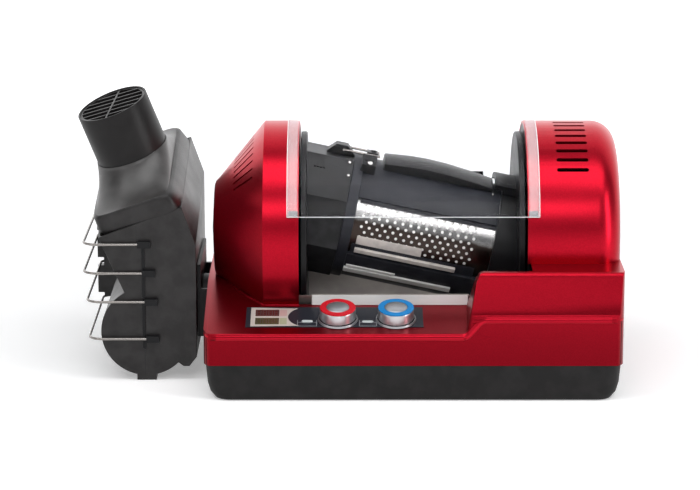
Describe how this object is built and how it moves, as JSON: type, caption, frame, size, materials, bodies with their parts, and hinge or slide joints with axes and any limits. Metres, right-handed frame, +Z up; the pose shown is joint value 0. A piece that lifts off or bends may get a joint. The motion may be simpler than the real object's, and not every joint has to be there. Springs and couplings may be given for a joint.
{
  "type": "home coffee bean roaster",
  "caption": "Countertop coffee roaster: a tilted drum turns between two arched towers under a clear hinged cover, with knobs in front and a chaff collector beside it.",
  "frame": {"origin": "on the surface that the roaster stands on, under the middle of the whole roaster with its collector on", "axes": "+X to the right as the user faces it, +Y to the rear, +Z up"},
  "size_m": [0.497, 0.25, 0.2612],
  "materials": {
    "black_base": "fine-grained black plastic",
    "foot_rubber": "plain",
    "red_paint": "deep red satin metallic paint under clear lacquer",
    "black_plastic": "satin black plastic",
    "socket_plastic": "moulded dark grey plastic",
    "drum_plastic": "moulded blue-grey plastic",
    "bush_polymer": "plain",
    "polished_steel": "polished stainless sheet",
    "rail_steel": "brushed",
    "label_film": "printed film",
    "bright_chrome": "bright plated wire and rings",
    "circuit_board": "soldered board",
    "lamp_lens": "milky lens",
    "shaft_steel": "ground",
    "red_knob": "brushed aluminium with a red ring",
    "blue_knob": "brushed aluminium with a blue ring",
    "clear_sheet": "clear moulded sheet",
    "grey_rubber": "plain",
    "gear_polymer": "plain",
    "pinion_brass": "machined",
    "duct_steel": "pressed sheet",
    "heater_mica": "mica cross with wound wire",
    "fan_plastic": "plain",
    "collector_plastic": "heat-proof satin dark grey plastic"
  },
  "bodies": {
    "base": {"base_pan": "black_base", "rubber_feet": "foot_rubber", "housing": "red_paint", "left_tower": "red_paint", "right_tower": "red_paint", "rear_panel": "black_plastic", "left_bulkhead": "black_plastic", "right_bulkhead": "black_plastic", "hub_bushes": "bush_polymer", "floor_trough": "polished_steel", "control_label": "label_film", "knob_bezels": "bright_chrome", "control_board": "circuit_board", "indicator_lamp": "lamp_lens", "hinge_pins": "shaft_steel", "gear_motor": "shaft_steel", "air_duct": "duct_steel", "heater_core": "heater_mica", "fan_motor": "shaft_steel", "exhaust_duct": "duct_steel", "docking_bracket": "black_plastic", "power_inlet": "black_plastic", "power_board": "circuit_board"},
    "cover": {"clear_cover": "clear_sheet", "cover_bumpers": "grey_rubber", "cover_hinge_arms": "black_plastic"},
    "drum": {"left_drive_disc": "black_plastic", "right_drive_disc": "black_plastic", "drive_gear": "gear_polymer", "drum_mesh": "polished_steel", "drum_left_ring": "drum_plastic", "drum_socket": "socket_plastic", "drum_right_cap": "black_plastic", "drum_panels": "drum_plastic", "drum_crest": "socket_plastic", "drum_rails": "rail_steel", "latch_post": "black_plastic"},
    "latch": {"drum_latch": "bright_chrome"},
    "pinion": {"pinion": "pinion_brass"},
    "fan": {"fan_rotor": "fan_plastic"},
    "power_key": {"power_key": "lamp_lens"},
    "temperature_push": {"temperature_stem": "shaft_steel"},
    "temperature_knob": {"temperature_knob": "red_knob"},
    "time_push": {"time_stem": "shaft_steel"},
    "time_knob": {"time_knob": "blue_knob"},
    "collector": {"collector_bin": "collector_plastic", "wire_guards": "bright_chrome", "guard_clips": "black_plastic"},
    "collector_cap": {"collector_cap": "collector_plastic", "outlet_grille": "collector_plastic"}
  },
  "joints": [
    {"name": "cover_hinge", "type": "hinge", "parent": "base", "child": "cover", "pos_m": [0.05999, 0.1195, 0.14], "axis": [-1, 0, 0], "range_deg": [0, 95]},
    {"name": "drum_spin", "type": "hinge", "parent": "base", "child": "drum", "pos_m": [0.05999, 0.015, 0.129], "axis": [1, 0, 0], "continuous": true},
    {"name": "pinion_spin", "type": "hinge", "parent": "base", "child": "pinion", "pos_m": [0.18999, 0.06591, 0.07809], "axis": [1, 0, 0], "continuous": true},
    {"name": "fan_spin", "type": "hinge", "parent": "base", "child": "fan", "pos_m": [0.21799, 0.015, 0.129], "axis": [1, 0, 0], "continuous": true},
    {"name": "latch_lift", "type": "hinge", "parent": "drum", "child": "latch", "pos_m": [-0.00265, 0.015, 0.20468], "axis": [0, -1, 0], "range_deg": [0, 35]},
    {"name": "power_key_push", "type": "slide", "parent": "base", "child": "power_key", "axis": [0, 0.2334, -0.9724], "range_m": [0, 0.0008], "stiffness_N_per_m": 600, "springref_m": -0.0006},
    {"name": "temperature_knob_push", "type": "slide", "parent": "base", "child": "temperature_push", "axis": [0, 0.2334, -0.9724], "range_m": [0, 0.0012], "stiffness_N_per_m": 1200, "springref_m": -0.0008},
    {"name": "temperature_knob_turn", "type": "hinge", "parent": "temperature_push", "child": "temperature_knob", "pos_m": [-0.00801, -0.097, 0.06872], "axis": [0, -0.2334, 0.9724], "continuous": true},
    {"name": "time_knob_push", "type": "slide", "parent": "base", "child": "time_push", "axis": [0, 0.2334, -0.9724], "range_m": [0, 0.0012], "stiffness_N_per_m": 1200, "springref_m": -0.0008},
    {"name": "time_knob_turn", "type": "hinge", "parent": "time_push", "child": "time_knob", "pos_m": [0.04439, -0.097, 0.06872], "axis": [0, -0.2334, 0.9724], "continuous": true},
    {"name": "collector_pull", "type": "slide", "parent": "base", "child": "collector", "axis": [-1, 0, 0], "range_m": [0, 0.06]},
    {"name": "cap_lift", "type": "slide", "parent": "collector", "child": "collector_cap", "axis": [-0.342, -0.1873, 0.9208], "range_m": [0, 0.03]}
  ],
  "couplings": [
    {"joint": "pinion_spin", "follows": "drum_spin", "ratio": -5}
  ]
}
